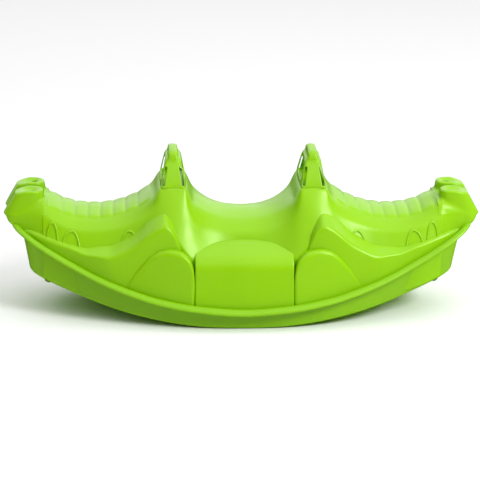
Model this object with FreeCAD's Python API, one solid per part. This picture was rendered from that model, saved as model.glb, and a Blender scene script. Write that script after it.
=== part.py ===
import FreeCAD, Part
import math
import os

# Child's rocking seesaw, moulded plastic.  Millimetres, +X along the length,
# +Y across, +Z up, floor at Z = 0, origin under the middle of the rocker.
V = FreeCAD.Vector
os.makedirs("parts", exist_ok=True)

# ---- driving dimensions -------------------------------------------------
LENGTH = 1030.0            # snout tip to snout tip
WIDTH = 400.0              # over the rim lip at mid length
WALL = 4.0                 # moulded wall
GRIP_TOP = 353.0           # top of the hand grips
SILL_Z = 284.0             # flat that a handle stands on
HANDLE_X = 150.0           # handle centre from the middle
LIP_W = 18.0               # rim lip, across
LIP_H = 13.0               # rim lip, up
FLAT = 20.0                # half length of the flat land under the middle
ROCK_R = 1075.0            # rocker arc beyond the flat land
FIT = 0.2                  # clearance of posts and screws in their holes
RIB_PITCH = 27.0           # seat grip ribs
RIB_FIRST = 212.0
RIB_COUNT = 8
RIB_R = 20.0
RIB_H = 3.5
TOOTH_W = 5.0              # raised tooth on the flank, across and out
TOOTH_H = 3.0
SCREW_Y = 60.0             # handle screws from the middle of the sill
SCREW_R = 2.0
HEAD_R = 4.0
HEAD_H = 2.5
STOP_X = 420.0             # end stops under the tray
STOP_Y = 66.0
STOP_R = 8.0
NOSTRIL_R = 3.5
SX = LENGTH / 1030.0       # the outlines below are for the nominal size
SY = WIDTH / 400.0
EDGE = 520.0 * SX          # beyond both ends of the seesaw

# half outline of the rim lip in plan, from mid length to the end
RIM = [(0, 200), (95, 197), (179, 185), (306, 154), (391, 126), (455, 104), (486, 80), (497, 0)]
# rim lip underside, height along the length
LIP = [(0, 35), (90, 41), (179, 54), (243, 71), (306, 93), (370, 122), (433, 156), (492, 194), (515, 210)]
# jaw ledge crest seen from the side: inner foot, hill, valley, snout end
JAW = [(127, 120), (133, 160), (141, 184), (152, 206), (168, 218), (184, 212), (205, 197),
       (226, 179), (250, 164), (290, 149), (330, 148), (372, 161), (415, 176), (478, 192)]
# jaw ledge front edge in plan
JAW_PLAN = [(120, 146), (200, 146), (260, 143), (306, 138), (338, 130), (391, 108), (440, 88), (482, 62)]
# footrest lobe, seen from the side
LOBE = [(254, 88), (237, 112), (221, 132), (200, 154), (180, 166), (160, 170), (138, 166),
        (120, 154), (109, 134), (105, 104), (105, 40)]
# saddle ridge: x, crown z, seat edge (y, z), shoulder (y, z), flank foot (y, z)
SADDLE = [
    (0, 216, 65, 207, 90, 189, 100, 169), (30, 218, 65, 209, 90, 190, 103, 168),
    (61, 226, 66, 217, 93, 196, 113, 165), (90, 241, 68, 234, 99, 208, 134, 156),
    (107, 256, 71, 251, 102, 223, 148, 149), (119, 278, 74, 275, 101, 241, 148, 155),
    (125, 284, 75, 283, 99, 249, 143, 168), (150, 284, 76, 283.8, 97, 255, 131, 198),
    (176, 284, 75, 281, 95, 251, 120, 213), (193, 264, 72, 258, 93, 238, 116, 201),
    (212, 249, 69, 242, 92, 225, 113, 189), (240, 235, 67, 227, 91, 209, 109, 173),
    (275, 224, 66, 215, 90, 198, 106, 164), (315, 219, 65, 210, 90, 193, 105, 160),
    (350, 221, 65, 212, 89, 194, 103, 162), (385, 230, 64, 221, 86, 202, 99, 169),
    (410, 242, 62, 234, 80, 213, 92, 179), (428, 254, 60, 247, 74, 223, 84, 188)]
# tooth outlines on the flank: x of outer foot, peak, inner foot with heights
TEETH = [((419, 179), (407, 209), (396, 173)), ((385, 169), (366, 193), (350, 158)),
         ((262, 164), (243, 195), (230, 181))]


# ---- helpers ------------------------------------------------------------
def spline(points):
    c = Part.BSplineCurve()
    c.interpolate(points)
    return c.toShape()


def both(half):
    """Half curve (first number along the length) mirrored to the full length."""
    left = [(-x, v) for x, v in reversed(half) if x > 0]
    return left + list(half)


def side_prism(half, z_base, y0, y1, up=0.0):
    """Solid below a curve seen from the side, full length."""
    pts = [V(x * SX, y0, z + up) for x, z in both(half)]
    top = spline(pts)
    a, b = V(pts[0].x, y0, z_base), V(pts[-1].x, y0, z_base)
    w = Part.Wire([top, Part.makeLine(pts[-1], b), Part.makeLine(b, a), Part.makeLine(a, pts[0])])
    return Part.Face(w).extrude(V(0, y1 - y0, 0))


def mirror(shape, normal):
    return shape.mirror(V(0, 0, 0), normal)


def rim_wire(inset, z, grow=0.0):
    """Closed boat-shaped outline, moved inwards by inset, longer by grow."""
    half = []
    for i, (x, y) in enumerate(RIM):
        xa, ya = RIM[max(i - 1, 0)]
        xb, yb = RIM[min(i + 1, len(RIM) - 1)]
        t = V(xb - xa, yb - ya, 0)
        if i == 0:
            t = V(1, 0, 0)
        if i == len(RIM) - 1:
            t = V(0, -1, 0)
        t.normalize()
        half.append((x * SX + inset * t.y + grow * x / RIM[-1][0], y * SY - inset * t.x))
    c = Part.BSplineCurve()
    c.interpolate(Points=[V(x, y, z) for x, y in half], InitialTangent=V(1, 0, 0), FinalTangent=V(0, -1, 0))
    q1 = c.toShape()
    q2 = mirror(q1, V(0, 1, 0))
    return Part.Wire([q1, q2, mirror(q2, V(1, 0, 0)), mirror(q1, V(1, 0, 0))])


def rim_prism(inset, z0, z1):
    return Part.Face(rim_wire(inset, z0)).extrude(V(0, 0, z1 - z0))


def hull(inset):
    """Drafted boat-shaped solid: narrower at the floor than at the rim."""
    return Part.makeLoft([rim_wire(26 + inset, -1, -43), rim_wire(LIP_W - WALL + inset, 215, -5)], True, True)


def arc_height(x):
    """Height of the rocker arc over the floor."""
    run = max(abs(x) - FLAT, 0.0)
    return ROCK_R - (ROCK_R ** 2 - run ** 2) ** 0.5


def rocker(lift):
    """Everything above the rocker arc, raised by lift."""
    y, top, mid = -300.0, 420.0, (EDGE + FLAT) / 2
    p = [V(x, y, arc_height(x) + lift) for x in (-EDGE, -mid, -FLAT, FLAT, mid, EDGE)]
    q = [V(EDGE, y, top), V(-EDGE, y, top)]
    edges = [Part.Arc(*p[:3]).toShape(), Part.makeLine(p[2], p[3]), Part.Arc(*p[3:]).toShape(),
             Part.makeLine(p[5], q[0]), Part.makeLine(q[0], q[1]), Part.makeLine(q[1], p[0])]
    return Part.Face(Part.Wire(edges)).extrude(V(0, 600, 0))


def saddle_rails(d):
    """Curves along the saddle from one flank foot over the crown to the other."""
    rows = [(-r[0],) + r[1:] for r in reversed(SADDLE) if r[0] > 0] + SADDLE
    rails = [[] for _ in range(11)]
    for x, zc, ye, ze, ys, zs, yf, zf in rows:
        x = x * SX
        ye, ys, yf = [v * SY - d for v in (ye, ys, yf)]
        zc, ze, zs, zf = zc - d, ze - d, zs - 0.6 * d, zf - 0.3 * d
        base = arc_height(x) + WALL + FIT
        foot = yf - 40 * (x / SX / SADDLE[-1][0]) ** 4
        half = [(foot, base), (yf, zf), (ys, zs), (ye, ze), (ye / 2, zc - (zc - ze) / 4), (0, zc)]
        for i, (y, z) in enumerate(half + [(-y, z) for y, z in reversed(half[:-1])]):
            rails[i].append(V(x, y, z))
    return rails


def skin_solid(rails):
    """Closed solid whose long faces run between neighbouring rails."""
    edges = [spline(r) for r in rails]
    loop = list(zip(edges, edges[1:] + edges[:1]))
    faces = [Part.makeRuledSurface(p, q) for p, q in loop]
    for end in (0, -1):
        pts = [r[end] for r in rails]
        faces.append(Part.Face(Part.makePolygon(pts + pts[:1])))
    solid = Part.Solid(Part.Shell(faces))
    if solid.Volume < 0:
        solid.reverse()
    return solid


def saddle(d):
    """Solid under the saddle surface, moved inwards by d."""
    return skin_solid(saddle_rails(d))


def biggest(shape, floor=2000.0):
    """Drop slivers left by a cut."""
    return max((s for s in shape.Solids if s.Volume > floor), key=lambda s: s.Volume)


def save(name, shape):
    shape.exportStep("parts/%s.step" % name)
    print(name, len(shape.Solids), round(shape.Volume), shape.isValid())


def quad(name, shape):
    """Save one piece and its mirror images in all four corners."""
    for end, fx in (("right", 1), ("left", -1)):
        for side, fy in (("rear", 1), ("front", -1)):
            s = shape if fx > 0 else mirror(shape, V(1, 0, 0))
            s = s if fy > 0 else mirror(s, V(0, 1, 0))
            save("%s_%s_%s" % (name, side, end), s)


# ---- rocker tray and rim lip -------------------------------------------
below_lip = side_prism(LIP, -5, -300, 300)
outer = hull(0).common(rocker(0))
inner = hull(WALL).common(rocker(WALL))
tray = outer.cut(inner).common(below_lip)
above = Part.makeBox(2 * EDGE, 600, 500, V(-EDGE, -300, -20)).cut(below_lip)


def lip_solid(g):
    """Rim lip, grown by g on every side."""
    band = side_prism(LIP, -5, -300, 300, up=LIP_H + g).cut(side_prism(LIP, -5, -300, 300, up=-g))
    return rim_prism(-g, 10, 240).common(band).cut(rim_prism(LIP_W + g, 0, 260))


lip = lip_solid(0)
well = rim_prism(LIP_W + FIT / 2, 0, 420)

# ---- saddle with seat ribs and teeth ------------------------------------
body = saddle(-FIT)
ribs = []
for k in range(RIB_COUNT):
    x = RIB_FIRST + k * RIB_PITCH
    lo = max(r for r in SADDLE if r[0] <= x)
    hi = min(r for r in SADDLE if r[0] > x)
    t = (x - lo[0]) / (hi[0] - lo[0])
    zc, ye, ze = [lo[i] + t * (hi[i] - lo[i]) for i in (1, 2, 3)]
    before, after = SADDLE[max(SADDLE.index(lo) - 1, 0)], SADDLE[min(SADDLE.index(hi) + 1, len(SADDLE) - 1)]
    slope = (1 - t) * (hi[1] - before[1]) / (hi[0] - before[0]) + t * (after[1] - lo[1]) / (after[0] - lo[0])
    ye *= SY
    bow = (ye ** 2 + (zc - ze) ** 2) / (2 * (zc - ze))
    pad = Part.makeTorus(bow - RIB_R + RIB_H, RIB_R, V(0, 0, -bow), V(1, 0, 0))
    pad = pad.common(Part.makeBox(60, 2 * (ye - 4), 60, V(-30, -ye + 4, -35)))
    pad = pad.cut(Part.makeCylinder(bow - WALL + 1.2, 80, V(-40, 0, -bow), V(1, 0, 0)))
    pad.rotate(V(0, 0, 0), V(0, 1, 0), -math.degrees(math.atan(slope / SX)))
    pad.translate(V(x * SX, 0, zc))
    ribs.append(pad)
ribs = [r.cut(body) for r in ribs]


def flank(x, z):
    """Point on the flank and its outward normal, at a length and a height."""
    lo = max(r for r in SADDLE if r[0] <= x)
    hi = min(r for r in SADDLE if r[0] > x)
    t = (x - lo[0]) / (hi[0] - lo[0])
    ys, zs, yf, zf = [lo[i] + t * (hi[i] - lo[i]) for i in (4, 5, 6, 7)]
    y = (ys + (zs - z) / (zs - zf) * (yf - ys)) * SY
    return V(x * SX, y, z), V(0, zs - zf, (yf - ys) * SY).normalize()


teeth = []
for foot, peak, toe in TEETH:
    path = [foot, ((foot[0] + 2 * peak[0]) / 3, (foot[1] + peak[1]) / 2 + 5), peak,
            ((toe[0] + 2 * peak[0]) / 3, (toe[1] + peak[1]) / 2 + 5), toe]
    on = [flank(*p) for p in path]
    rails = [[], [], [], []]
    for i, (p, n) in enumerate(on):
        run = (on[min(i + 1, 4)][0] - on[max(i - 1, 0)][0]).normalize()
        w = run.cross(n).normalize()
        for rail, h, side in zip(rails, (0.7, TOOTH_H, TOOTH_H, 0.7), (-0.5, -0.33, 0.33, 0.5)):
            rail.append(p + n * h + w * (side * TOOTH_W))
    teeth.append(skin_solid(rails))
shell = skin_solid(saddle_rails(0.0) + list(reversed(saddle_rails(WALL))))
for fx in (1, -1):
    for fy in (1, -1):
        pilot = Part.makeCylinder(SCREW_R + FIT / 2, 40, V(fx * HANDLE_X * SX, fy * SCREW_Y * SY, SILL_Z - 30))
        shell = shell.cut(pilot)
shell = biggest(shell)

# ---- jaw ledges ----------------------------------------------------------
def ledge_solid(d):
    """Ledge on the rear right quarter, moved inwards by d."""
    pts = [V(x * SX, 0, z - d) for x, z in JAW]
    a, b = V(pts[0].x + d, 0, 0), V(pts[-1].x - d, 0, 0)
    pts[0].x += d
    pts[-1].x -= d
    w = Part.Wire([spline(pts), Part.makeLine(pts[-1], b), Part.makeLine(b, a), Part.makeLine(a, pts[0])])
    side = Part.Face(w).extrude(V(0, 220, 0))
    f = [V(x * SX, y * SY - d, 0) for x, y in JAW_PLAN]
    g = [V(x * SX, y * SY - d - 10, 260) for x, y in JAW_PLAN]
    front = Part.makeRuledSurface(spline(f), spline(g))
    far = [V(p.x, 0, p.z) for p in (f[0], f[-1], g[0], g[-1])]
    base = Part.Face(Part.Wire([spline(f), Part.makeLine(f[-1], far[1]), Part.makeLine(far[1], far[0]),
                                Part.makeLine(far[0], f[0])]))
    lid = Part.Face(Part.Wire([spline(g), Part.makeLine(g[-1], far[3]), Part.makeLine(far[3], far[2]),
                               Part.makeLine(far[2], g[0])]))
    s0 = Part.makeRuledSurface(Part.makeLine(f[0], g[0]), Part.makeLine(far[0], far[2]))
    s1 = Part.makeRuledSurface(Part.makeLine(f[-1], g[-1]), Part.makeLine(far[1], far[3]))
    s2 = Part.makeRuledSurface(Part.makeLine(far[0], far[1]), Part.makeLine(far[2], far[3]))
    solid = Part.Solid(Part.Shell([front, base, lid, s0, s1, s2]))
    if solid.Volume < 0:
        solid.reverse()
    return side.common(solid)


jaw_outer = ledge_solid(0)
jaw = jaw_outer.cut(ledge_solid(WALL)).cut(body).common(well).common(above)
jaw = biggest(jaw)

# ---- footrest lobes and centre block ------------------------------------
BLOCK_X = 105.0
BLOCK = [(60, 186), (112, 171), (152, 152), (161, 147), (166, 138), (172, 100), (181, 30)]


def block_solid(d):
    pts = [V(0, y * SY - (d if i > 1 else 0), z - (d if i < 4 else 0)) for i, (y, z) in enumerate(BLOCK)]
    nose = Part.Arc(pts[2], pts[3], pts[4]).toShape()
    e = [Part.makeLine(pts[0], pts[1]), Part.makeLine(pts[1], pts[2]), nose,
         Part.makeLine(pts[4], pts[5]), Part.makeLine(pts[5], pts[6])]
    a = V(0, 40, pts[6].z)
    b = V(0, 40, pts[0].z)
    e += [Part.makeLine(pts[6], a), Part.makeLine(a, b), Part.makeLine(b, pts[0])]
    half = BLOCK_X * SX - d
    s = Part.Face(Part.Wire(e)).extrude(V(2 * half, 0, 0))
    s.translate(V(-half, 0, 0))
    return s


def lobe_solid(d):
    pts = [V(x * SX + (d if x <= 105 else -d * 0.7), 0, z - (d if x > 105 else 0)) for x, z in LOBE]
    e = [spline(pts[:-1]), Part.makeLine(pts[-2], pts[-1]), Part.makeLine(pts[-1], V(pts[0].x, 0, pts[-1].z)),
         Part.makeLine(V(pts[0].x, 0, pts[-1].z), pts[0])]
    side = Part.Face(Part.Wire(e)).extrude(V(0, 230, 0))
    cone = Part.makeLoft([rim_wire(LIP_W + 1 + d, 30), rim_wire(LIP_W + 11 + d, 190)], True, True)
    return side.common(cone)


block_outer = block_solid(0)
rest = block_outer.cut(block_solid(WALL)).cut(body).common(well).common(above)
rest = biggest(rest)
lobe_outer = lobe_solid(0)
lobe = lobe_outer.cut(lobe_solid(WALL)).cut(body).cut(jaw_outer).cut(block_outer).common(well).common(above)
lobe = biggest(lobe)

# ---- snouts --------------------------------------------------------------
# levels of a snout column: z, inner x, outer x
COLUMN = [(192, 430, 478), (204, 428, 500), (219, 426, 515), (243, 426, 502), (262, 428, 491), (270, 436, 482)]
# half section of the snout root, at the saddle end and where it meets the columns
ROOT_IN = [(84, 190), (74, 223), (60, 246)]
ROOT_OUT = [(60, 198), (60, 222), (54, 238)]


def rounded(z, x0, x1, y0, y1, r):
    """Rectangle with round corners at height z."""
    k = r * (1 - 0.5 ** 0.5)
    x0, x1, y0, y1 = x0 * SX, x1 * SX, y0 * SY, y1 * SY
    e = []
    for (cx, cy), (ax, ay), (bx, by) in (((x0, y0), (0, r), (r, 0)), ((x1, y0), (-r, 0), (0, r)),
                                         ((x1, y1), (0, -r), (-r, 0)), ((x0, y1), (r, 0), (0, -r))):
        mx, my = cx + (k if cx == x0 else -k), cy + (k if cy == y0 else -k)
        e.append((V(cx + ax, cy + ay, z), V(mx, my, z), V(cx + bx, cy + by, z)))
    edges = []
    for i, (a, m, b) in enumerate(e):
        edges += [Part.Arc(a, m, b).toShape(), Part.makeLine(b, e[(i + 1) % 4][0])]
    return Part.Wire(edges)


def column(d, y0, y1, top):
    """Stack of round-cornered levels, moved inwards by d."""
    levels = [v for v in COLUMN if v[0] <= top]
    wires = []
    for z, x0, x1 in levels:
        z = z + d if z == levels[0][0] else z - 2.5 * d if z == levels[-1][0] else z
        tuck = 7 if z > 264 else 0
        wires.append(rounded(z, x0 + d, x1 - d, y0 + d + tuck, y1 - d - tuck, 16 - d))
    return Part.makeLoft(wires, True, True)


def root(d):
    """Tapering root of the snout, flush with the saddle end."""
    wires = []
    for x, sec in ((428, ROOT_IN), (478, ROOT_OUT)):
        half = [V((x - d) * SX, (y - d) * SY, z + (d if z < 200 else -d * (z > 230))) for y, z in sec]
        loop = half + [V(p.x, -p.y, p.z) for p in reversed(half)]
        wires.append(Part.makePolygon(loop + loop[:1]))
    return Part.makeLoft(wires, True, True)


def snout_solid(d):
    horn = column(d, 8, 62, 271)
    return column(d, -62, 62, 220).fuse([horn, mirror(horn, V(0, 1, 0)), root(d)])


snout = snout_solid(0).cut(snout_solid(WALL))
for fy in (1, -1):
    dish = Part.Face(rounded(265.5, 440, 477, fy * 35 - 12, fy * 35 + 12, 10)).extrude(V(0, 0, 20))
    snout = snout.cut(dish).cut(Part.makeCylinder(NOSTRIL_R, 40, V(454 * SX, fy * 35 * SY, 250)))
snout = snout.cut(Part.makeBox(60, 300, 400, V(SADDLE[-1][0] * SX - 60, -150, 0)))
snout.translate(V(FIT / 2, 0, FIT / 2))
snout = biggest(snout.cut([jaw_outer, mirror(jaw_outer, V(0, 1, 0)), lip_solid(FIT / 2), tray]))

# ---- handles -------------------------------------------------------------
HANDLE_Y = 75.0            # half length of a handle over its sill
GRIP_Y = 43.0              # half length of the grip
GRIP_T = 18.0              # depth of the grip above the hand hole
NECK_Z = GRIP_TOP - 17     # top of the hollow frame
SLOT_FOOT = (18.5, 24.0)   # slot edges over the sill, from the handle centre
SLOT_HEAD = (13.2, 17.0)   # the same 45 mm higher


def lens(z, half_y, end, mid, d=0.0):
    """Lens-like section: end = half width at the tips, mid = at the middle."""
    y = half_y * SY - d
    a = [V(end - d, -y, z), V(mid - d, 0, z), V(end - d, y, z)]
    b = [V(-end + d, y, z), V(-mid + d, 0, z), V(-end + d, -y, z)]
    return Part.Wire([Part.Arc(*a).toShape(), Part.makeLine(a[2], b[0]), Part.Arc(*b).toShape(),
                      Part.makeLine(b[2], a[0])])


def handle_solid(d):
    """Tapering hollow frame of a handle, moved inwards by d."""
    mid = (SILL_Z + NECK_Z) / 2
    return Part.makeLoft([lens(SILL_Z - (1 if d else 0), HANDLE_Y, 26, 28, d), lens(mid, 62, 22, 24, d),
                          lens(NECK_Z, GRIP_Y - 1, 16, 18, d)], True, True)


under = GRIP_TOP - GRIP_T
keep = Part.makeLoft([lens(SILL_Z - 1, HANDLE_Y - 16, 40, 42), lens(NECK_Z, GRIP_Y - 17, 40, 42)], True, True)
frame = handle_solid(0)
core = handle_solid(WALL).common(Part.makeBox(100, 200, under - SILL_Z + 1, V(-50, -100, SILL_Z - 1)))
grip = Part.makeLoft([lens(under + 1, GRIP_Y, 10.5, 11), lens(GRIP_TOP - 5, GRIP_Y - 4, 9.5, 10.5),
                      lens(GRIP_TOP, GRIP_Y - 11, 5.5, 6.5)], True, True)
hole = [V(-50, y * SY, z) for y, z in ((-50, SILL_Z + 8), (50, SILL_Z + 8), (30, under), (-30, under))]
palm = Part.Face(Part.makePolygon(hole + hole[:1])).extrude(V(100, 0, 0))
palm = palm.makeFillet(9, [e for e in palm.Edges if abs(e.Vertexes[0].X - e.Vertexes[1].X) > 50])
handle = frame.fuse(grip).cut(core).cut(palm)
for fx in (1, -1):
    slot = [V(fx * w, -90, SILL_Z + h) for w, h in zip(SLOT_FOOT + SLOT_HEAD[::-1], (1, 1, 46, 46))]
    slot = Part.Face(Part.makePolygon(slot + slot[:1])).extrude(V(0, 180, 0))
    handle = handle.cut(slot.cut(keep))
tabs = []
for fy in (1, -1):
    tab = Part.makeBox(22, 16, 6, V(-11, fy * SCREW_Y * SY - 8, SILL_Z))
    bite = Part.makeCylinder(SCREW_R + FIT / 2, 20, V(0, fy * SCREW_Y * SY, SILL_Z - 5))
    tabs.append(tab.common(frame).cut(bite))
handle = biggest(handle.fuse(tabs))
handle.translate(V(HANDLE_X * SX, 0, 0))
handle = handle.cut(shell)

# ---- hidden screws, cross webs and end stops ----------------------------
def screw(x, y, z, length):
    """Pan head screw driven upwards, head underneath."""
    s = Part.makeCylinder(SCREW_R, length, V(x, y, z)).fuse(
        Part.makeCylinder(HEAD_R, HEAD_H, V(x, y, z - HEAD_H)))
    return s


handle_screws = []
for fx in (1, -1):
    for fy in (1, -1):
        x, y = fx * HANDLE_X * SX, fy * SCREW_Y * SY
        handle_screws.append(screw(x, y, SILL_Z - WALL - 1.2, 9.0))
handle_screws = Part.makeCompound(handle_screws)

hollow = saddle(WALL + FIT)
web_x = [-380, -230, -150, -50, 50, 150, 230, 380]
webs = []
for x in web_x:
    slab = Part.makeBox(WALL, 400, 300, V(x * SX - WALL / 2, -200, 0))
    webs.append(slab.common(hull(WALL + FIT)).common(rocker(WALL + FIT)).common(hollow).common(below_lip))
webs = [biggest(w, 100) for w in webs]

stop_x, stop_y = STOP_X * SX, STOP_Y * SY
stop_z = arc_height(stop_x) - 10
stop = Part.makeCylinder(STOP_R, 30, V(stop_x, stop_y, stop_z + 4))
stop = stop.fuse(Part.makeCone(STOP_R - 2.5, STOP_R, 4, V(stop_x, stop_y, stop_z)))
stop = stop.cut(rocker(-FIT / 2))

for name, s in (("rocker_tray", tray), ("rim_lip", lip), ("saddle_shell", shell)):
    save(name, s)
rib_set = Part.makeCompound(ribs)
save("seat_ribs_right", rib_set)
save("seat_ribs_left", mirror(rib_set, V(1, 0, 0)))
quad("flank_teeth", Part.makeCompound(teeth))
quad("jaw_ledge", jaw)
quad("footrest_lobe", lobe)
save("footrest_block_rear", rest)
save("footrest_block_front", mirror(rest, V(0, 1, 0)))
save("snout_right", snout)
save("snout_left", mirror(snout, V(1, 0, 0)))
save("handle_right", handle)
save("handle_left", mirror(handle, V(1, 0, 0)))
save("handle_screws", handle_screws)
save("tray_webs", Part.makeCompound(webs))
quad("end_stop", stop)
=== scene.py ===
import bpy
import itertools
import math
import numpy as np
from mathutils import Matrix, Vector


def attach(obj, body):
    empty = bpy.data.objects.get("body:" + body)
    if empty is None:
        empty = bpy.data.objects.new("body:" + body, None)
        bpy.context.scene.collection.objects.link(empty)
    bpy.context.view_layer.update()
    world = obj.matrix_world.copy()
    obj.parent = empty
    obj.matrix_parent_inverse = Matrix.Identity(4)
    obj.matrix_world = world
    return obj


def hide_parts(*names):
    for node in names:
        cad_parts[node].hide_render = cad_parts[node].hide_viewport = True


# Looks of the rocking seesaw. Each piece is a field that is negative inside
# the piece, in millimetres, and is meshed on a grid. X runs along the length,
# Y across and Z up. Both ends and both sides are mirror images.

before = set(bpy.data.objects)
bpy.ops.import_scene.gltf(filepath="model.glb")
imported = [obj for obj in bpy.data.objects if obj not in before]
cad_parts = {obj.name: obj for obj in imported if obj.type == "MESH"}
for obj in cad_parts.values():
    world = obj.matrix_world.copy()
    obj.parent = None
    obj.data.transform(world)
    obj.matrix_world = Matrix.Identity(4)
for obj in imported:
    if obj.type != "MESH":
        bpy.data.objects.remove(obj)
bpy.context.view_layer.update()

# ------------------------------------------------------ sizes, millimetres
# Plan of the rim's outer edge: x, y
RIM = [(0, 200), (95, 197), (179, 185), (306, 154), (391, 126), (455, 104), (486, 80), (497, 0)]
# Height of the rim's underside: x, z
LIP = [(0, 35), (90, 41), (179, 54), (243, 71), (306, 93), (370, 122), (433, 156), (492, 194), (515, 210)]
# Crest of a ledge beside a handle: x, z, and its front edge in plan: x, y
JAW = [(120, 60), (127, 120), (133, 160), (141, 184), (152, 206), (168, 218), (184, 212), (205, 197),
       (226, 179), (250, 164), (290, 149), (330, 148), (372, 161), (415, 176), (478, 192), (500, 196)]
JAW_PLAN = [(100, 146), (200, 146), (260, 143), (306, 138), (338, 130), (391, 108), (440, 88), (482, 62),
            (500, 50)]
# Crest of a half-dome foot lobe: x, z
LOBE = [(104, 100), (109, 134), (120, 154), (138, 166), (160, 170), (180, 166), (200, 154), (221, 132),
        (237, 112), (254, 88), (275, 55)]
# Saddle sections: x, crest z, edge y, edge z, shoulder y, shoulder z, foot y, foot z
SADDLE = np.array([
    (0, 216, 65, 207, 90, 189, 100, 169), (30, 218, 65, 209, 90, 190, 103, 168),
    (61, 226, 66, 217, 93, 196, 113, 165), (90, 241, 68, 234, 99, 208, 134, 156),
    (107, 256, 71, 251, 102, 223, 148, 149), (119, 278, 74, 275, 101, 241, 148, 155),
    (125, 284, 75, 283, 99, 249, 143, 168),
    (150, 284, 76, 283.8, 97, 255, 131, 198), (176, 284, 75, 281, 95, 251, 120, 213),
    (193, 264, 72, 258, 93, 238, 116, 201), (212, 249, 69, 242, 92, 225, 113, 189),
    (240, 235, 67, 227, 91, 209, 109, 173), (275, 224, 66, 215, 90, 198, 106, 164),
    (315, 219, 65, 210, 90, 193, 105, 160), (350, 221, 65, 212, 89, 194, 103, 162),
    (385, 230, 64, 221, 86, 202, 99, 169), (410, 242, 62, 234, 80, 213, 92, 179),
    (428, 254, 60, 247, 74, 223, 84, 188)], float)
SEAT_BLUR, FLANK_BLUR = 2.0, 11.0       # how far its section curves are smoothed
SADDLE_END = 429.0              # the snout caps start here
# Arches raised on the flank, each as foot, peak and toe: x, z
TEETH = [((419, 179), (407, 209), (396, 173)), ((385, 169), (366, 193), (350, 158)),
         ((262, 164), (243, 195), (230, 181))]
# Snout seen from the side: x, z. Its two columns: z, back x, front x. Its root: z, half width
SNOUT = [(390, 170), (390, 280), (434, 271), (462, 271), (488, 265), (515, 219), (500, 204), (490, 196),
         (470, 170)]
COLUMN = [(170, 428, 472), (204, 427, 500), (219, 426, 515), (243, 426, 503), (262, 427, 492),
          (272, 430, 487)]
ROOT = [(170, 86.5), (188, 84.3), (223, 74.2), (247, 61), (262, 50)]
COLUMN_Y, SQUARENESS = 34, 2.7          # 2 is an ellipse, more is squarer
RIB_PITCH, RIB_FIRST, RIB_COUNT, RIB_RISE = 27.0, 212.0, 8, 3.2
RIB_HALF, RIB_FADE = 62, 10.0   # half length across the seat, and the run of its end
HANDLE_X, SILL_Z = 150.0, 284.0
NECK, CREST = 336.0, 355.5      # top of the handle's frame, and of its grip
ROCK_R, FLAT = 1075.0, 20.0     # rocker radius, and half its flat middle
SKIRT_TOP, SKIRT_END = 215.0, 492.0     # height and half length that the skirt's lean is scaled by
RIM_HALF_W, RIM_HALF_H = 9.0, 6.5
LIP_SEAT = 3                    # inner pieces start this far above the rim's underside
INNER_Y, LOBE_INNER_Y = 60, 80  # their backs, hidden in the saddle
# Centre footrest: half length, top z, y where the top bends, front y and its edge's rounding
BLOCK_HALF, BLOCK_TOP, BLOCK_BEND, BLOCK_FRONT, BLOCK_EDGE = 105, 171, 112, 165.0, 19.0
STOP_X, STOP_Y, STOP_R = 420, 66, 8
CUT = 1.0                       # blend width of a crisp cut
MAP_STEP, SOFT_CELLS = 2.0, 31  # pitch of the plan's distance map, and cells that soften it


# -------------------------------------------------------- curves and maps
def smooth_table(pts, even=False):
    """Smooth curve through points that never overshoots, as a finely sampled lookup."""
    x, y = np.array([p[0] for p in pts], float), np.array([p[1] for p in pts], float)
    if even:
        x, y = np.concatenate([-x[:0:-1], x]), np.concatenate([y[:0:-1], y])
    h, d = np.diff(x), np.diff(y) / np.diff(x)
    s = np.zeros_like(x)
    w1, w2 = 2 * h[1:] + h[:-1], h[1:] + 2 * h[:-1]
    ok = d[:-1] * d[1:] > 0
    s[1:-1][ok] = ((w1 + w2)[ok]) / (w1[ok] / d[:-1][ok] + w2[ok] / d[1:][ok])
    s[0], s[-1] = d[0], d[-1]
    xs = np.arange(x[0], x[-1] + 0.25, 0.5)
    i = np.clip(np.searchsorted(x, xs, side="right") - 1, 0, len(h) - 1)
    t = (xs - x[i]) / h[i]
    ys = ((2 * t ** 3 - 3 * t ** 2 + 1) * y[i] + (t ** 3 - 2 * t ** 2 + t) * h[i] * s[i]
          + (-2 * t ** 3 + 3 * t ** 2) * y[i + 1] + (t ** 3 - t ** 2) * h[i] * s[i + 1])
    return xs, ys


def blur(table, sigma):
    """Round the corners of a sampled curve, sigma in millimetres."""
    n = int(6 * sigma)
    k = np.exp(-0.5 * (np.arange(-n, n + 1) * 0.5 / sigma) ** 2)
    return table[0], np.convolve(np.pad(table[1], n, mode="edge"), k / k.sum(), mode="valid")


def lookup(table, x):
    return np.interp(x, table[0], table[1])


def section_curve(column, sigma):
    """One column of the saddle sections as a curve along the length."""
    return blur(smooth_table(list(zip(SADDLE[:, 0], SADDLE[:, column])), True), sigma)


T_LIP = smooth_table(LIP, True)
T_JAW = smooth_table(JAW)
T_JAW_PLAN = smooth_table(JAW_PLAN)
T_LOBE = smooth_table(LOBE)
T_CREST_Z, T_EDGE_Y, T_EDGE_Z = [section_curve(i, SEAT_BLUR) for i in (1, 2, 3)]
T_SHOULDER_Y, T_SHOULDER_Z, T_FOOT_Y, T_FOOT_Z = [section_curve(i, FLANK_BLUR) for i in (4, 5, 6, 7)]


def smax(a, b, k):
    """Larger of two fields, blended over a width of k."""
    h = np.maximum(k - np.abs(a - b), 0.0) / k
    return np.maximum(a, b) + h * h * k * 0.25


def smin(a, b, k):
    """Smaller of two fields, blended over a width of k."""
    return -smax(-a, -b, k)


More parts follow.
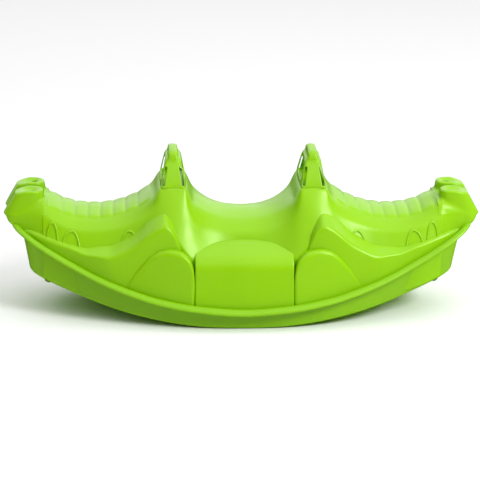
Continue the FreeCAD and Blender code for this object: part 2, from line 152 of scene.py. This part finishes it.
def seg_dist(px, pz, pts, closed=False):
    """Distance to a polyline, negative inside it if closed."""
    d = np.full(np.broadcast(px, pz).shape, 1e9)
    inside = np.zeros(d.shape, bool)
    n = len(pts)
    for i in range(n if closed else n - 1):
        ax, az = pts[i]
        bx, bz = pts[(i + 1) % n]
        ex, ez = bx - ax, bz - az
        wx, wz = px - ax, pz - az
        t = np.clip((wx * ex + wz * ez) / (ex * ex + ez * ez), 0, 1)
        d = np.minimum(d, np.hypot(wx - t * ex, wz - t * ez))
        if closed:
            inside ^= ((az > pz) != (bz > pz)) & (px < ex * (pz - az) / (ez if ez else 1e-9) + ax)
    return np.where(inside, -d, d) if closed else d


def rim_outline(steps=14):
    """Boat-shaped plan outline: a cubic spline through RIM, square to the axis at both tips."""
    pts = np.array([(-x, y) for x, y in RIM[:0:-1]] + RIM, float)
    span = np.hypot(*np.diff(pts, axis=0).T)
    n = len(pts)
    a, rhs = np.zeros((n, n)), np.zeros((n, 2))
    a[0, 0] = a[-1, -1] = 1
    rhs[0], rhs[-1] = (0, 1), (0, -1)
    for i in range(1, n - 1):
        h0, h1 = span[i - 1], span[i]
        a[i, i - 1], a[i, i], a[i, i + 1] = h1, 2 * (h0 + h1), h0
        rhs[i] = 3 * (h1 * (pts[i] - pts[i - 1]) / h0 + h0 * (pts[i + 1] - pts[i]) / h1)
    s = np.linalg.solve(a, rhs)
    t = np.linspace(0, 1, steps, endpoint=False)[:, None]
    out = []
    for i in range(n - 1):
        h = span[i]
        out.append((2 * t ** 3 - 3 * t ** 2 + 1) * pts[i] + (t ** 3 - 2 * t ** 2 + t) * h * s[i]
                   + (-2 * t ** 3 + 3 * t ** 2) * pts[i + 1] + (t ** 3 - t ** 2) * h * s[i + 1])
    top = np.concatenate(out + [pts[-1:]])
    return np.concatenate([top, (top * (1, -1))[-2:0:-1]])


def soften(plan, n):
    """Round the ridge lines of a distance map over n cells."""
    k = np.hanning(n + 2)[1:-1]
    k /= k.sum()

    def smooth(row):
        return np.convolve(np.pad(row, n // 2, mode="edge"), k, "valid")

    full = np.concatenate([plan[:, :0:-1], plan], axis=1)
    for axis in (0, 1):
        full = np.apply_along_axis(smooth, axis, full)
    return full[:, plan.shape[1] - 1:]


MAP_X, MAP_Y = np.arange(-530, 531, MAP_STEP), np.arange(0, 231, MAP_STEP)
PLAN_MAP = seg_dist(MAP_X[:, None], MAP_Y[None, :], [tuple(p) for p in rim_outline()], True)
SOFT_MAP = soften(PLAN_MAP, SOFT_CELLS)


def plan_dist(x, y, plan=PLAN_MAP):
    """Distance to the rim outline in plan, negative inside, bilinear from a map."""
    fx, fy = (x - MAP_X[0]) / MAP_STEP, np.abs(y) / MAP_STEP
    i = np.clip(np.floor(fx).astype(int), 0, len(MAP_X) - 2)
    j = np.clip(np.floor(fy).astype(int), 0, len(MAP_Y) - 2)
    u, v = fx - i, fy - j
    return (plan[i, j] * (1 - u) * (1 - v) + plan[i + 1, j] * u * (1 - v)
            + plan[i, j + 1] * (1 - u) * v + plan[i + 1, j + 1] * u * v)


def arc_height(x):
    """Height of the rocker's underside."""
    run = np.maximum(np.abs(x) - FLAT, 0)
    return ROCK_R - np.sqrt(ROCK_R ** 2 - run ** 2)


def under_lip(x, z):
    """Positive below the line on which the inner pieces stand."""
    return lookup(T_LIP, x) + LIP_SEAT - z


# ------------------------------------------------------------ solid fields
def saddle_top(x, y):
    """Height of the saddle without its ribs, and how steeply its flank falls."""
    ay = np.abs(y)
    crest_z, edge_y, edge_z = [lookup(t, x) for t in (T_CREST_Z, T_EDGE_Y, T_EDGE_Z)]
    shoulder_y, shoulder_z = lookup(T_SHOULDER_Y, x), lookup(T_SHOULDER_Z, x)
    foot_y, foot_z = lookup(T_FOOT_Y, x), lookup(T_FOOT_Z, x)
    crown = crest_z - (crest_z - edge_z) * (ay / edge_y) ** 2
    bevel = edge_z + (ay - edge_y) * (shoulder_z - edge_z) / (shoulder_y - edge_y)
    flank = shoulder_z + (ay - shoulder_y) * (foot_z - shoulder_z) / (foot_y - shoulder_y)
    return smin(smin(crown, bevel, 7.0), flank, 5.0), (shoulder_z - foot_z) / (foot_y - shoulder_y)


def f_saddle(x, y, z):
    """The long ridge with its grip ribs on both end seats."""
    tuck, underside = 4.0, 8
    top, slope = saddle_top(x, y)
    place = (np.abs(x) - RIB_FIRST) / RIB_PITCH + 0.5
    on = (place > 0) & (place < RIB_COUNT)
    off_centre = np.abs((place % 1.0) * 2 - 1)
    pad = np.where(on, (1 - off_centre ** 3.0), 0.0)
    reach = np.clip((RIB_HALF - np.abs(y)) / RIB_FADE, 0, 1)
    top = top + RIB_RISE * pad * (reach * reach * (3 - 2 * reach))
    f = (z - top) / np.sqrt(1 + 0.25 * slope ** 2)
    f = smax(f, np.abs(y) - lookup(T_FOOT_Y, x) - tuck, 3.0)
    f = smax(f, np.abs(x) - SADDLE_END, 0.6)
    return smax(f, (arc_height(x) + underside) - z, CUT)


def f_teeth(x, y, z):
    """Raised arches that follow the flank."""
    half_w, half_h, bow, sag, steps = 2.3, 2.4, 0.25, 2.0, 9
    top, slope = saddle_top(x, y)
    skin = (z - top) / np.sqrt(1 + slope ** 2)
    d = np.full(np.broadcast(x, y, z).shape, 1e9)
    t = np.linspace(0, 1, steps)[:, None]
    for foot, peak, toe in TEETH:
        peak = np.array(peak, float)
        legs = []
        for end in (np.array(foot, float), np.array(toe, float)):
            bend = np.array((end[0] + (peak[0] - end[0]) * bow, peak[1] - sag))
            legs.append((1 - t) ** 2 * end + 2 * t * (1 - t) * bend + t * t * peak)
        pts = [tuple(p) for p in np.concatenate([legs[0], legs[1][::-1][1:]])]
        d = np.minimum(d, seg_dist(np.abs(x), z, pts))
    ridge = smax(np.abs(d) - half_w, np.abs(skin) - half_h, 2.6)
    return smax(ridge, INNER_Y - np.abs(y), CUT)


def f_jaw(x, y, z):
    """The ledge beside a handle, rear right quarter."""
    start, end, rim_gap = 122, 478, 17.5
    crest = lookup(T_JAW, x)
    front = lookup(T_JAW_PLAN, x)
    top = crest + np.clip(0.42 * (front - y), -20, 22)
    steepness = 0.35 + 0.6 * np.clip((x - 120) / 30.0, 0, 1)
    face = (y - front) - 0.05 * (crest - z)
    f = smax((z - top) * steepness, face, 8.0)
    f = smax(f, start - x + (crest - 190) * 0.02, 4.0)
    f = smax(f, plan_dist(x, y) + rim_gap, 2.0)
    f = smax(f, under_lip(x, z), CUT)
    return smax(smax(f, x - end, 2.0), INNER_Y - y, CUT)


def f_lobe(x, y, z):
    """The half-dome foot lobe, rear right quarter."""
    start, rim_gap, lean = 104.5, 17.2, 0.0625
    dome = (z - lookup(T_LOBE, x)) * 0.72
    f = smax(dome, start - x, 9.0)
    f = smax(f, plan_dist(x, y) + rim_gap + (z - 30) * lean, 10.0)
    return smax(smax(f, under_lip(x, z), CUT), LOBE_INNER_Y - y, CUT)


def f_block(x, y, z):
    """The centre footrest, rear side: its top bends down towards a leaning front."""
    out = y - BLOCK_BEND
    top = np.where(y < BLOCK_BEND, BLOCK_TOP - out * 0.29, BLOCK_TOP - out * 0.475)
    front = BLOCK_FRONT + (140 - z) * 0.145
    f = smax((z - top) * 0.9, y - front, BLOCK_EDGE)
    f = smax(f, np.abs(x) - BLOCK_HALF, 3.0)
    return smax(smax(f, under_lip(x, z), CUT), INNER_Y - y, CUT)


def f_tray(x, y, z):
    """The rocker: its skirt leans in towards the floor, and more so near the ends."""
    ax = np.abs(x)
    inset = 26.0 - 3.0 * np.clip((ax - 370) / 60, 0, 1) - 12.0 * z / SKIRT_TOP
    inset = inset + (43 - 38 * z / SKIRT_TOP) * np.clip(ax / SKIRT_END, 0, 1.1) ** 4
    f = smax(plan_dist(x, y, SOFT_MAP) + inset, arc_height(x) - z, 5.0)
    return smax(f, z - (lookup(T_LIP, x) + 2.0), CUT)


def f_rim(x, y, z):
    """The rolled rim: a band along the outline with its outer and inner edges bevelled."""
    p = plan_dist(x, y)
    mid = lookup(T_LIP, x) + RIM_HALF_H
    band = np.abs(p + RIM_HALF_W) - RIM_HALF_W
    f = smax(band, np.abs(z - mid) - RIM_HALF_H, 3.0)
    f = smax(f, p * 0.6 + (z - mid + 1.0) * 0.8, 4.0)
    return smax(f, -(p + 2 * RIM_HALF_W) * 0.5 + (z - mid - 4.0) * 0.87, 3.0)


def f_snout(x, y, z):
    """Right snout cap: two squarish columns with dished tops and nostrils on a low root."""
    ay = np.abs(y)
    outline = seg_dist(x, z, SNOUT, True)
    levels, back, front = zip(*COLUMN)
    x0, x1 = np.interp(z, levels, back), np.interp(z, levels, front)
    half_y = np.interp(z, [176, 219, 262], [30, 29, 26])
    off_x = np.abs(x - (x0 + x1) / 2) / ((x1 - x0) / 2)
    off_y = np.abs(ay - COLUMN_Y) / half_y
    squircle = (off_x ** SQUARENESS + off_y ** SQUARENESS) ** (1 / SQUARENESS)
    column = smax(outline, (squircle - 1) * half_y * 0.8, 5.0)

    root_z, root_y = zip(*ROOT)
    side = ay - np.interp(z, root_z, root_y)
    side = side + np.clip((x - 428) / 52.0, 0, 1) * np.interp(z, [170, 223, 262], [26, 16, 0])
    root_top = z - 246.0 + np.clip(x - 430, 0, 100) * 0.5
    root = smax(smax(outline, side * 0.93, 3.0), root_top, 12.0)
    f = smin(column, root, 12.0)

    dish_depth = 9.5
    dish = np.sqrt(((x - 458) / 23.0) ** 2 + ((ay - COLUMN_Y) / 18.0) ** 2 + ((z - 275) / dish_depth) ** 2)
    f = smax(f, (1 - dish) * dish_depth, 2.5)
    nostril = smax(np.hypot((x - 451) / 1.25, ay - 36) - 5.6, 248 - z, CUT)
    f = smax(f, -nostril, 1.5)

    # Where the cap overlaps the saddle, it stays just under the flank's surface.
    start = 420.0 - x
    buried = smax(start, z - 1.0 - saddle_top(x, y)[0], 0.5)
    tail = np.where(x < SADDLE_END, np.where(ay < 62, start, buried), -9.0)
    return smax(f, tail, 0.5)


def lens_half(y, z, wall):
    """Half width at y, and half length, of the lens-shaped handle frame, less a wall."""
    t = np.clip((z - SILL_Z) / (NECK - SILL_Z), 0, 1)
    length = 75 - 33 * t ** 1.25
    end, mid = 26 - 10 * t, 28.5 - 9.5 * t
    return end + (mid - end) * (1 - np.clip(y / length, -1, 1) ** 2) - wall, length - wall


def f_handle(x, y, z):
    """Right handle: hollow frame, grip on top, hand hole along X and slots along Y."""
    wall, foot = 5.0, 3.0
    ax, ay = np.abs(x - HANDLE_X), np.abs(y)
    wide, length = lens_half(y, z, 0.0)
    body = smax(smax(ax - wide, (ay - length) * 0.88, 7.0), z - NECK - 3.0, 8.0)
    inner_w, inner_l = lens_half(y, z, wall)
    room = smax(smax(ax - inner_w, (ay - inner_l) * 0.88, 4.0), z - NECK + 24.0, 8.0)
    body = smax(body, -room, 1.5)

    t = np.clip((z - NECK) / (CREST - NECK), 0, 1)
    grip = smax(ax - 11.0 + 1.2 * t, ay - 43 + 9 * t * t, 7.0)
    grip = smax(smax(grip, z - CREST + 0.0018 * y * y, 7.0), NECK - 8 - z, CUT)
    f = smin(body, grip, 5.0)

    reach = 50 - 20 * np.clip((z - 292) / 43.0, 0, 1)
    hand_hole = smax((ay - reach) * 0.9, np.abs(z - 313.5) - 21.5, 16.0)
    f = smax(f, -hand_hole, 3.0)

    h = (z - SILL_Z) / 45.0
    slot = smax(np.abs(ax - 21.8 + 8.0 * h) - 2.9 + 0.6 * h, np.abs(z - 304.5) - 18.5, 3.0)
    slot = smax(slot, length - 26 - ay, CUT)
    f = smax(f, -slot, 1.5)
    return smax(f, SILL_Z - foot - z, 0.6)


def f_stop(x, y, z):
    """The bump under the rocker that limits its travel, rear right."""
    under = arc_height(x)
    r = np.hypot(x - STOP_X, y - STOP_Y)
    f = smax(r - STOP_R + np.clip(under - z, 0, 8) * 0.3, under - 7.0 - z, 5.0)
    return smax(f, z - under - 0.5, 0.5)


# --------------------------------------------------------- meshing a field
CORNERS = list(itertools.product((0, 1), repeat=3))


def cell_points(v, cells):
    """One point per cell, amid the places where its edges cross the surface."""
    corner = {c: v[cells[:, 0] + c[0], cells[:, 1] + c[1], cells[:, 2] + c[2]] for c in CORNERS}
    total, count = np.zeros((len(cells), 3)), np.zeros(len(cells))
    for axis in range(3):
        for a, b in itertools.product((0, 1), repeat=2):
            low, high = [a, b], [a, b]
            low.insert(axis, 0)
            high.insert(axis, 1)
            v0, v1 = corner[tuple(low)], corner[tuple(high)]
            hit = (v0 < 0) != (v1 < 0)
            p = np.tile(np.array(low, float), (len(cells), 1))
            p[:, axis] = np.where(hit, v0 / np.where(hit, v0 - v1, 1), 0)
            total[hit] += p[hit]
            count += hit
    return cells + total / count[:, None]


def cell_faces(neg, index):
    """One quad around each grid edge that crosses the surface."""
    faces = []
    for axis in range(3):
        u, w = [a for a in range(3) if a != axis]
        near = [slice(1, -1)] * 3
        near[axis] = slice(0, -1)
        far = list(near)
        far[axis] = slice(1, None)
        a, b = neg[tuple(near)], neg[tuple(far)]
        edge = np.argwhere(a != b)
        flip = a[tuple(edge.T)]
        for k in (u, w):
            edge[:, k] += 1
        quad = []
        for du, dw in ((0, 0), (-1, 0), (-1, -1), (0, -1)):
            c = edge.copy()
            c[:, u] += du
            c[:, w] += dw
            quad.append(index[tuple(c.T)])
        quad = np.stack(quad, 1)
        if axis != 1:
            flip = ~flip
        quad[flip] = quad[flip][:, ::-1]
        faces.append(quad)
    return np.concatenate(faces)


def settle(f, pts, h, rounds=3, probe=0.15, limit=0.35):
    """Move points onto the surface by Newton steps, each at most limit * h."""
    for _ in range(rounds):
        x, y, z = pts.T
        val = f(x, y, z)
        ahead = (f(x + probe, y, z), f(x, y + probe, z), f(x, y, z + probe))
        g = np.stack([(a - val) / probe for a in ahead], 1)
        move = g * (val / np.maximum((g * g).sum(1), 1e-3))[:, None]
        length = np.linalg.norm(move, axis=1)
        pts = pts - move * np.minimum(1, limit * h / np.maximum(length, 1e-9))[:, None]
    return pts


def surface_nets(f, lo, hi, h, slab=24):
    """Quad mesh of the surface f = 0 in a box, on a grid of pitch h, sampled in slabs."""
    axes = [np.arange(a - h, b + 1.5 * h, h) for a, b in zip(lo, hi)]
    v = np.empty([len(a) for a in axes], np.float32)
    for i in range(0, len(axes[0]), slab):
        x = axes[0][i:i + slab, None, None]
        v[i:i + slab] = f(x, axes[1][None, :, None], axes[2][None, None, :])
    neg = v < 0
    n = [s - 1 for s in v.shape]
    count = np.zeros(n, np.uint8)
    for dx, dy, dz in CORNERS:
        count += neg[dx:n[0] + dx, dy:n[1] + dy, dz:n[2] + dz]
    crossed = (count > 0) & (count < 8)
    cells = np.argwhere(crossed)
    index = np.full(n, -1, np.int64)
    index[crossed] = np.arange(len(cells))
    pts = cell_points(v, cells) * h + np.array([a[0] for a in axes])
    return settle(f, pts, h), cell_faces(neg, index)


def add_mesh(name, pts, faces, material, nodes):
    """Blender object from points in millimetres, riding on the one body."""
    me = bpy.data.meshes.new(name)
    me.vertices.add(len(pts))
    me.vertices.foreach_set("co", (pts * 0.001).astype(np.float32).ravel())
    me.loops.add(faces.size)
    me.loops.foreach_set("vertex_index", faces.astype(np.int32).ravel())
    me.polygons.add(len(faces))
    me.polygons.foreach_set("loop_start", np.arange(0, faces.size, 4, dtype=np.int32))
    me.polygons.foreach_set("use_smooth", np.ones(len(faces), bool))
    me.update(calc_edges=True)
    me.validate()
    me.materials.append(material)
    o = bpy.data.objects.new(name, me)
    bpy.context.collection.objects.link(o)
    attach(o, "root")
    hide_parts(*nodes)


# ---------------------------------------------------------------- materials
def node_tree(owner):
    """Empty node tree of a material or world."""
    owner.use_nodes = True
    owner.node_tree.nodes.clear()
    return owner.node_tree


def ramp(nt, source, positions, colours):
    """Two-stop colour ramp driven by a socket."""
    r = nt.nodes.new("ShaderNodeValToRGB")
    for element, position, colour in zip(r.color_ramp.elements, positions, colours):
        element.position = position
        element.color = colour
    nt.links.new(source, r.inputs["Fac"])
    return r.outputs["Color"]


def grey(value):
    return (value, value, value, 1)


def plastic(name, base, rough, dark, seed):
    """Moulded plastic: faint colour drift, gloss that varies, fine surface texture, scuffs."""
    material = bpy.data.materials.new(name)
    nt = node_tree(material)
    new, link = nt.nodes.new, nt.links.new
    place = new("ShaderNodeMapping")
    place.inputs["Location"].default_value = (seed, seed * 0.7, 0)
    link(new("ShaderNodeTexCoord").outputs["Object"], place.inputs["Vector"])

    def noise(scale, detail, roughness=0.55):
        t = new("ShaderNodeTexNoise")
        t.inputs["Scale"].default_value = scale
        t.inputs["Detail"].default_value = detail
        t.inputs["Roughness"].default_value = roughness
        link(place.outputs["Vector"], t.inputs["Vector"])
        return t.outputs["Fac"]

    def bump(height, strength, distance):
        b = new("ShaderNodeBump")
        b.inputs["Strength"].default_value = strength
        b.inputs["Distance"].default_value = distance
        link(height, b.inputs["Height"])
        return b

    shader = new("ShaderNodeBsdfPrincipled")
    low = tuple(c * dark for c in base) + (1,)
    pale = tuple(min(1.0, c * 1.04 + 0.015) for c in base) + (1,)
    colour = new("ShaderNodeMixRGB")
    link(ramp(nt, noise(160.0, 6.0, 0.7), (0.66, 0.76), (grey(0), grey(0.35))), colour.inputs["Fac"])
    link(ramp(nt, noise(4.0, 4.0), (0.3, 0.7), (low, base + (1,))), colour.inputs["Color1"])
    colour.inputs["Color2"].default_value = pale
    link(colour.outputs["Color"], shader.inputs["Base Color"])

    gloss = ramp(nt, noise(22.0, 5.0), (0.3, 0.72), (grey(rough - 0.05), grey(rough + 0.09)))
    link(gloss, shader.inputs["Roughness"])

    grain = bump(noise(1400.0, 2.0), 0.10, 0.0003)
    sink = bump(noise(9.0, 2.0), 0.35, 0.0015)
    link(sink.outputs["Normal"], grain.inputs["Normal"])
    link(grain.outputs["Normal"], shader.inputs["Normal"])

    shader.inputs["Subsurface Weight"].default_value = 0.12
    shader.inputs["Subsurface Radius"].default_value = (0.012, 0.02, 0.003)
    shader.inputs["Subsurface Scale"].default_value = 1.0
    shader.inputs["IOR"].default_value = 1.49
    shader.inputs["Specular Tint"].default_value = (0.8, 1.0, 0.6, 1)
    link(shader.outputs["BSDF"], new("ShaderNodeOutputMaterial").inputs["Surface"])
    return material


M_SHELL = plastic("green_shell", (0.262, 0.562, 0.0), rough=0.33, dark=0.93, seed=0.0)
M_TRAY = plastic("green_tray", (0.245, 0.53, 0.006), rough=0.36, dark=0.92, seed=3.1)
M_GRIP = plastic("green_grip", (0.255, 0.55, 0.004), rough=0.36, dark=0.93, seed=7.7)
# The stops are moulded in the body's own green; their darker green here is painted shade, for where they
# sit under the rocker.
M_STOP_PAINTED_SHADE = plastic("green_stop_painted_shade", (0.12, 0.28, 0.01), rough=0.5, dark=0.85, seed=1.7)

# ------------------------------------------------------------------- pieces
GRID = 2.4
MEDIUM, FINE = GRID * 0.75, GRID * 0.5
SNOUT_GRID, HANDLE_GRID = 1.6, 1.0


def add_mirrored(pts, faces, signs, name, material, node):
    """Add a mesh mirrored by its X and Y signs, with its faces still pointing out."""
    if signs[0] * signs[1] < 0:
        faces = faces[:, ::-1]
    add_mesh(name, pts * (signs[0], signs[1], 1), faces, material, [node])


# The pieces that are whole: name, field, box, grid, material, CAD nodes, slot
WHOLE = [
    ("saddle", f_saddle, (-430, -160, 2), (430, 160, 290), GRID, M_SHELL,
     ["saddle_shell", "seat_ribs_left", "seat_ribs_right"], "shell_plastic"),
    ("tray", f_tray, (-478, -190, -2), (478, 190, 192), GRID, M_TRAY, ["rocker_tray"], "tray_plastic"),
    ("rim", f_rim, (-494, -202, 30), (494, 202, 212), MEDIUM, M_TRAY, ["rim_lip"], "tray_plastic")]
# One of each four, at the rear right
QUARTERS = [
    ("jaw_ledge", f_jaw, (118, 58, 30), (480, 160, 244), MEDIUM, M_SHELL, "shell_plastic"),
    ("footrest_lobe", f_lobe, (100, 78, 30), (264, 184, 178), MEDIUM, M_SHELL, "shell_plastic"),
    ("flank_teeth", f_teeth, (225, 60, 150), (425, 125, 215), FINE, M_SHELL, "shell_plastic"),
    ("end_stop", f_stop, (409, 55, 60), (431, 77, 92), FINE, M_STOP_PAINTED_SHADE, "stop_pad")]
# One of each two, at the rear or at the right
SIDES = [("rear", (1, 1)), ("front", (1, -1))]
ENDS = [("right", (1, 1)), ("left", (-1, 1))]
PAIRS = [
    ("footrest_block", f_block, (-108, 58, 28), (108, 184, 190), MEDIUM, M_SHELL, "shell_plastic", SIDES),
    ("snout", f_snout, (418, -88, 172), (518, 88, 275), SNOUT_GRID, M_SHELL, "shell_plastic", ENDS),
    ("handle", f_handle, (120, -77, 279), (180, 77, 357), HANDLE_GRID, M_GRIP, "handle_plastic", ENDS)]

for name, field, lo, hi, grid, material, nodes, slot in WHOLE:
    pts, faces = surface_nets(field, lo, hi, grid)
    add_mesh(name, pts, faces, material, nodes)
for name, field, lo, hi, grid, material, slot in QUARTERS:
    pts, faces = surface_nets(field, lo, hi, grid)
    for end, sx in (("right", 1), ("left", -1)):
        for side, sy in (("rear", 1), ("front", -1)):
            node = "%s_%s_%s" % (name, side, end)
            add_mirrored(pts, faces, (sx, sy), node + "_skin", material, node)
for name, field, lo, hi, grid, material, slot, copies in PAIRS:
    pts, faces = surface_nets(field, lo, hi, grid)
    for where, signs in copies:
        node = "%s_%s" % (name, where)
        add_mirrored(pts, faces, signs, node + "_skin", material, node)


# ---------------------------------------------------- floor, light, camera
def add_floor():
    """White paper floor that keeps the shadow and looks dark to glossy rays."""
    material = bpy.data.materials.new("floor_paper")
    nt = node_tree(material)
    new, link = nt.nodes.new, nt.links.new
    paper = new("ShaderNodeBsdfPrincipled")
    mottle = new("ShaderNodeTexNoise")
    mottle.inputs["Scale"].default_value = 3.0
    link(ramp(nt, mottle.outputs["Fac"], (0, 1), (grey(0.93), grey(0.95))), paper.inputs["Base Color"])
    paper.inputs["Roughness"].default_value = 0.9
    paper.inputs["Specular IOR Level"].default_value = 0.1
    dark = new("ShaderNodeBsdfDiffuse")
    dark.inputs["Color"].default_value = grey(0.02)
    mix = new("ShaderNodeMixShader")
    link(new("ShaderNodeLightPath").outputs["Is Glossy Ray"], mix.inputs["Fac"])
    link(paper.outputs["BSDF"], mix.inputs[1])
    link(dark.outputs["BSDF"], mix.inputs[2])
    link(mix.outputs["Shader"], new("ShaderNodeOutputMaterial").inputs["Surface"])
    bpy.ops.mesh.primitive_plane_add(size=60, location=(0, 0, -0.0005))
    floor = bpy.context.object
    floor.name = "floor"
    floor.data.materials.append(material)


def add_world():
    """White to the camera, and otherwise a dome that is bright overhead.

    Glossy rays also see a bright horizon at the back."""
    world = bpy.data.worlds.new("studio")
    bpy.context.scene.world = world
    nt = node_tree(world)
    new, link = nt.nodes.new, nt.links.new
    way = new("ShaderNodeSeparateXYZ")
    link(new("ShaderNodeTexCoord").outputs["Generated"], way.inputs["Vector"])
    rays = new("ShaderNodeLightPath")
    glow = new("ShaderNodeMixRGB")
    glow.blend_type = "LIGHTEN"
    link(ramp(nt, way.outputs["Z"], (0.45, 0.85), (grey(0.03), grey(1))), glow.inputs["Color1"])
    link(ramp(nt, way.outputs["Y"], (0.25, 0.7), (grey(0), grey(0.9))), glow.inputs["Color2"])
    link(rays.outputs["Is Glossy Ray"], glow.inputs["Fac"])
    dome, paper = new("ShaderNodeBackground"), new("ShaderNodeBackground")
    link(glow.outputs["Color"], dome.inputs["Color"])
    dome.inputs["Strength"].default_value = 1.5
    paper.inputs["Color"].default_value = grey(1)
    paper.inputs["Strength"].default_value = 1.0
    mix = new("ShaderNodeMixShader")
    link(rays.outputs["Is Camera Ray"], mix.inputs["Fac"])
    link(dome.outputs["Background"], mix.inputs[1])
    link(paper.outputs["Background"], mix.inputs[2])
    link(mix.outputs["Shader"], new("ShaderNodeOutputWorld").inputs["Surface"])


def add_area(name, place, target, size, power):
    """Square area light, metres and watts, turned to a target."""
    d = bpy.data.lights.new(name, "AREA")
    d.shape, d.size, d.energy = "SQUARE", size, power
    o = bpy.data.objects.new(name, d)
    bpy.context.collection.objects.link(o)
    o.location = place
    o.rotation_mode = "QUATERNION"
    o.rotation_quaternion = (Vector(target) - Vector(place)).to_track_quat("-Z", "Y")


def add_camera(place, pitch, yaw, roll, lens, sensor):
    """Camera that looks down by pitch, turned by yaw and tilted by roll, all in degrees."""
    pitch, yaw, roll = math.radians(pitch), math.radians(yaw), math.radians(roll)
    ahead = Vector((math.sin(yaw) * math.cos(pitch), math.cos(yaw) * math.cos(pitch), -math.sin(pitch)))
    level = Vector((math.cos(yaw), -math.sin(yaw), 0))
    upright = level.cross(ahead)
    right = level * math.cos(roll) + upright * math.sin(roll)
    up = -level * math.sin(roll) + upright * math.cos(roll)
    data = bpy.data.cameras.new("cam")
    data.lens, data.sensor_width = lens, sensor
    data.clip_start, data.clip_end = 0.1, 60
    cam = bpy.data.objects.new("cam", data)
    bpy.context.collection.objects.link(cam)
    turn = Matrix((right, up, -ahead)).transposed().to_4x4()
    turn.translation = Vector(place)
    cam.matrix_world = turn
    bpy.context.scene.camera = cam


add_floor()
add_world()
add_area("key", (2.4, -2.2, 2.5), (0, 0, 0.15), 1.0, 108)
add_area("back", (0.3, 2.3, 2.6), (0, 0, 0.2), 2.4, 6)
add_area("fill", (-2.2, -2.6, 2.0), (0, 0, 0.15), 2.0, 4)
add_camera((-0.2393, -4.3748, 1.5245), pitch=17.5, yaw=3.102, roll=0.784, lens=157.5, sensor=36.0)
bpy.context.scene.view_settings.view_transform = "Standard"
